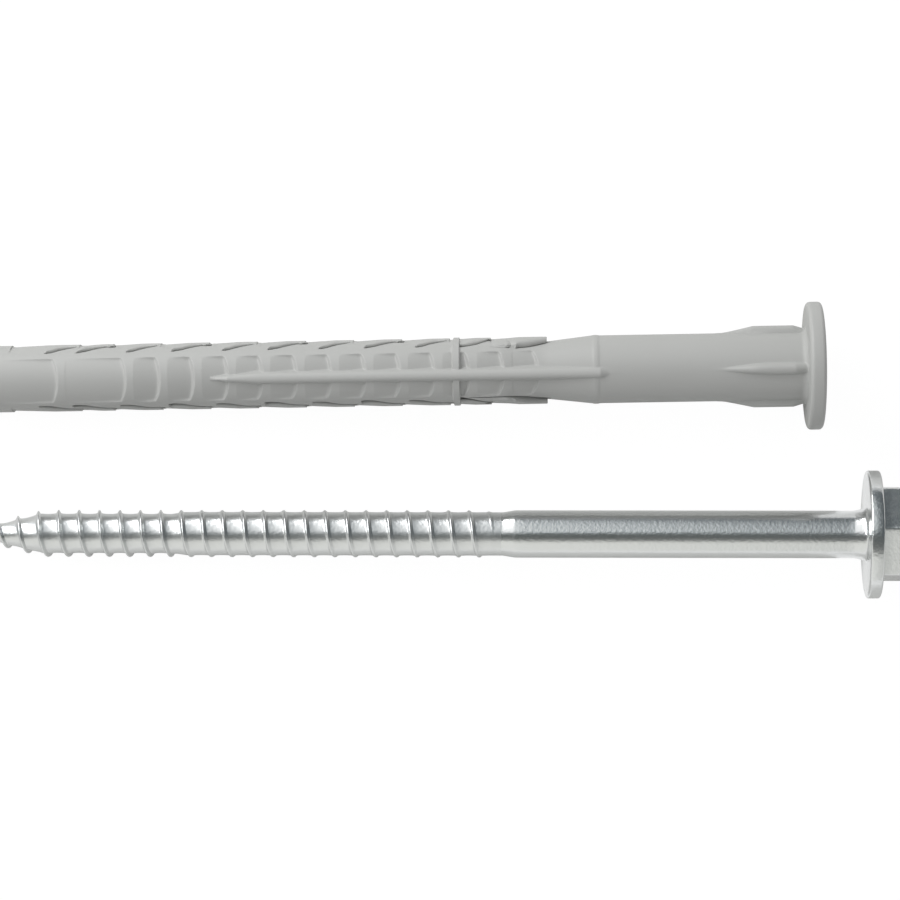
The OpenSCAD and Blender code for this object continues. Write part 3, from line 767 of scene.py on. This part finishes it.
# What a gloss mirrors, by the lean of a direction in degrees, from straight up towards the picture's top
ROOM = [(-180, "#FFFFFC"), (-60, "#F6F6F2"), (-40, "#F8F8F3"), (-28, "#7C7E7C"), (-8, "#5A5E5C"),
        (2, "#666C6C"), (11, "#C8D0D2"), (18, "#CCD4D6"), (28, "#BEC5C8"), (50, "#B4BCBF"), (64, "#969EA2"),
        (76, "#70777B"), (90, "#6A7175"), (180, "#FFFFFF")]
# The white screen begins, is full, begins to end and ends at these leans in degrees, and at these
# sideways parts of a direction whose length is 1
SCREEN_LEAN, SCREEN_SIDE = (5, 14, 66, 78), (-0.03, -0.2, -0.6, -0.9)


def ramp_up(tree, value, start, end, floor=0.0):
    """Rises from floor to 1 as value goes from start to end."""
    limits = {"From Min": start, "From Max": end, "To Min": floor}
    return add(tree, "ShaderNodeMapRange", limits, {"Value": value}).outputs[0]


def product(tree, *factors):
    """The product of several sockets."""
    total = factors[0]
    for factor in factors[1:]:
        total = add(tree, "ShaderNodeMath", {"operation": "MULTIPLY"}, {0: total, 1: factor}).outputs[0]
    return total


def studio_room():
    """The room round the table, an even grey but for what a gloss mirrors.

    A gloss mirrors a white wall below the picture, a dark ceiling over the camera, and above the
    picture a pale wall that darkens towards the table.
    """
    world = bpy.data.worlds.new("room")
    bpy.context.scene.world = world
    world.use_nodes = True
    tree = world.node_tree
    tree.nodes.clear()
    way = add(tree, "ShaderNodeSeparateXYZ", {}, {0: add(tree, "ShaderNodeTexCoord").outputs["Generated"]})
    lean = add(tree, "ShaderNodeMath", {"operation": "ARCTAN2"}, {0: way.outputs["Y"], 1: way.outputs["Z"]})
    across, lean = way.outputs["X"], lean.outputs[0]
    walls = add(tree, "ShaderNodeValToRGB", {}, {"Fac": ramp_up(tree, lean, -math.pi, math.pi)})
    elements = walls.color_ramp.elements
    while len(elements) < len(ROOM):
        elements.new(0.5)
    for element, (angle, _) in zip(elements, ROOM):
        element.position = (angle + 180) / 360
    for element, (_, code) in zip(elements, ROOM):
        element.color = tone(code)
    # A white screen stands to the left, above the picture
    low, low_full, high_full, high = (math.radians(angle) for angle in SCREEN_LEAN)
    near, near_full, far_full, far = SCREEN_SIDE
    screen = product(tree, ramp_up(tree, across, near, near_full), ramp_up(tree, lean, low, low_full),
                     ramp_up(tree, lean, high, high_full), ramp_up(tree, across, far, far_full))
    lit = add(tree, "ShaderNodeMix", {"data_type": "RGBA", 7: (1.15, 1.15, 1.15, 1)},
              {0: screen, 6: walls.outputs["Color"]})
    # To the right the room is darker, above all in its upper half
    upper = ramp_up(tree, lean, math.radians(-8), math.radians(4), 0.3)
    right = product(tree, ramp_up(tree, across, 0.0, 0.12), upper)
    shiny = add(tree, "ShaderNodeMix", {"data_type": "RGBA", 7: tone("#5C6265")},
                {0: right, 6: lit.outputs[2]})
    path = add(tree, "ShaderNodeLightPath")
    all_round = add(tree, "ShaderNodeMix", {"data_type": "RGBA", 6: tone("#BEBEBE")},
                    {0: path.outputs["Is Glossy Ray"], 7: shiny.outputs[2]})
    sky = add(tree, "ShaderNodeBackground", {"Strength": 1.0}, {"Color": all_round.outputs[2]})
    add(tree, "ShaderNodeOutputWorld", {}, {"Surface": sky.outputs[0]})


def softbox(name, direction, distance, width, height, power):
    """A rectangular lamp that faces the middle of the row."""
    lamp = bpy.data.lights.new(name, "AREA")
    lamp.shape, lamp.size, lamp.size_y = "RECTANGLE", width, height
    lamp.energy = power
    thing = bpy.data.objects.new(name, lamp)
    bpy.context.scene.collection.objects.link(thing)
    z = np.array(direction, float) / np.linalg.norm(direction)
    x = np.cross([0, 1, 0], z)
    x /= np.linalg.norm(x)
    y = np.cross(z, x)
    turn = Matrix([[x[k], y[k], z[k]] for k in range(3)])
    thing.matrix_world = Matrix.Translation(z * distance) @ turn.to_4x4()


def sheet(name, spans, half_depth, height, finish):
    """A flat sheet on the stage, in one part for each span [from, to] across the picture, in metres."""
    points = [(x, y, height) for span in spans for x in span for y in (-half_depth, half_depth)]
    faces = [[4 * k, 4 * k + 2, 4 * k + 3, 4 * k + 1] for k in range(len(spans))]
    thing = link(name, points, faces)
    thing.data.materials.append(finish)
    return thing


# The same lay as in the CAD: each piece rests on the rim of its head and on its far end
HEAD_LIFT = 9.371          # height of each axis at the bearing face
ROW_HALF = 12.4            # distance of each axis from the middle of the row, at the bearing face
SLEEVE_AT = 54.17587       # place of the sleeve's bearing face, from the middle of the row
SCREW_AHEAD = 8.8          # how far the screw's bearing face lies beyond the sleeve's
sleeve_lay = lay(SLEEVE_AT, ROW_HALF, HEAD_LIFT, yaw=0.9, tilt=2.11319, roll=5.5)
screw_lay = lay(SCREW_AHEAD + SLEEVE_AT, -ROW_HALF, HEAD_LIFT, yaw=0.0, tilt=2.81752, roll=-9.0)

sleeve = make_sleeve()
screw = make_screw()
settle(sleeve, sleeve_lay, 40)
settle(screw, screw_lay, 30)

sleeve.data.materials.clear()
sleeve.data.materials.append(moulded_nylon())
screw.data.materials.clear()
screw.data.materials.append(zinc_plate("zinc_plate_on_drawn_steel", 0.16, 0.3))
screw.data.materials.append(zinc_plate("zinc_plate_on_rolled_thread", 0.26, 0.38))
along = np.array([(screw_lay.inverted() @ (face.center / MM)).z for face in screw.data.polygons])
screw.data.polygons.foreach_set("material_index", (along > HELIX_FROM).astype(np.int32))
for thing, node, slot in ((sleeve, "sleeve", "nylon"), (screw, "screw", "plated_steel")):
    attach(thing, "root")
    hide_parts(node)

table = sheet("table", [(-4, 4)], 4, 0, white_table())

# Paper on the table that is seen only in a gloss, with a narrow gap just in front of the screw's flange
paper = sheet("paper", [(-0.16, 0.06), (0.063, 0.16)], 0.08, 0.1 * MM, white_paper())
paper.visible_camera = False
paper.visible_diffuse = False
paper.visible_shadow = False

studio_room()
softbox("key_softbox", (-0.61, 0.59, 0.53), distance=0.65, width=0.21, height=0.86, power=3.3)

# The camera looks straight down, with the photograph's framing
CAMERA_AT = (1.81, 0.02, 450)  # millimetres
camera_data = bpy.data.cameras.new("camera")
camera_data.sensor_width, camera_data.lens = 36.0, 119.84
camera_data.clip_start = 0.01
camera = bpy.data.objects.new("camera", camera_data)
camera.location = [value * MM for value in CAMERA_AT]
bpy.context.scene.collection.objects.link(camera)
bpy.context.scene.camera = camera
bpy.context.scene.view_settings.view_transform = "Standard"
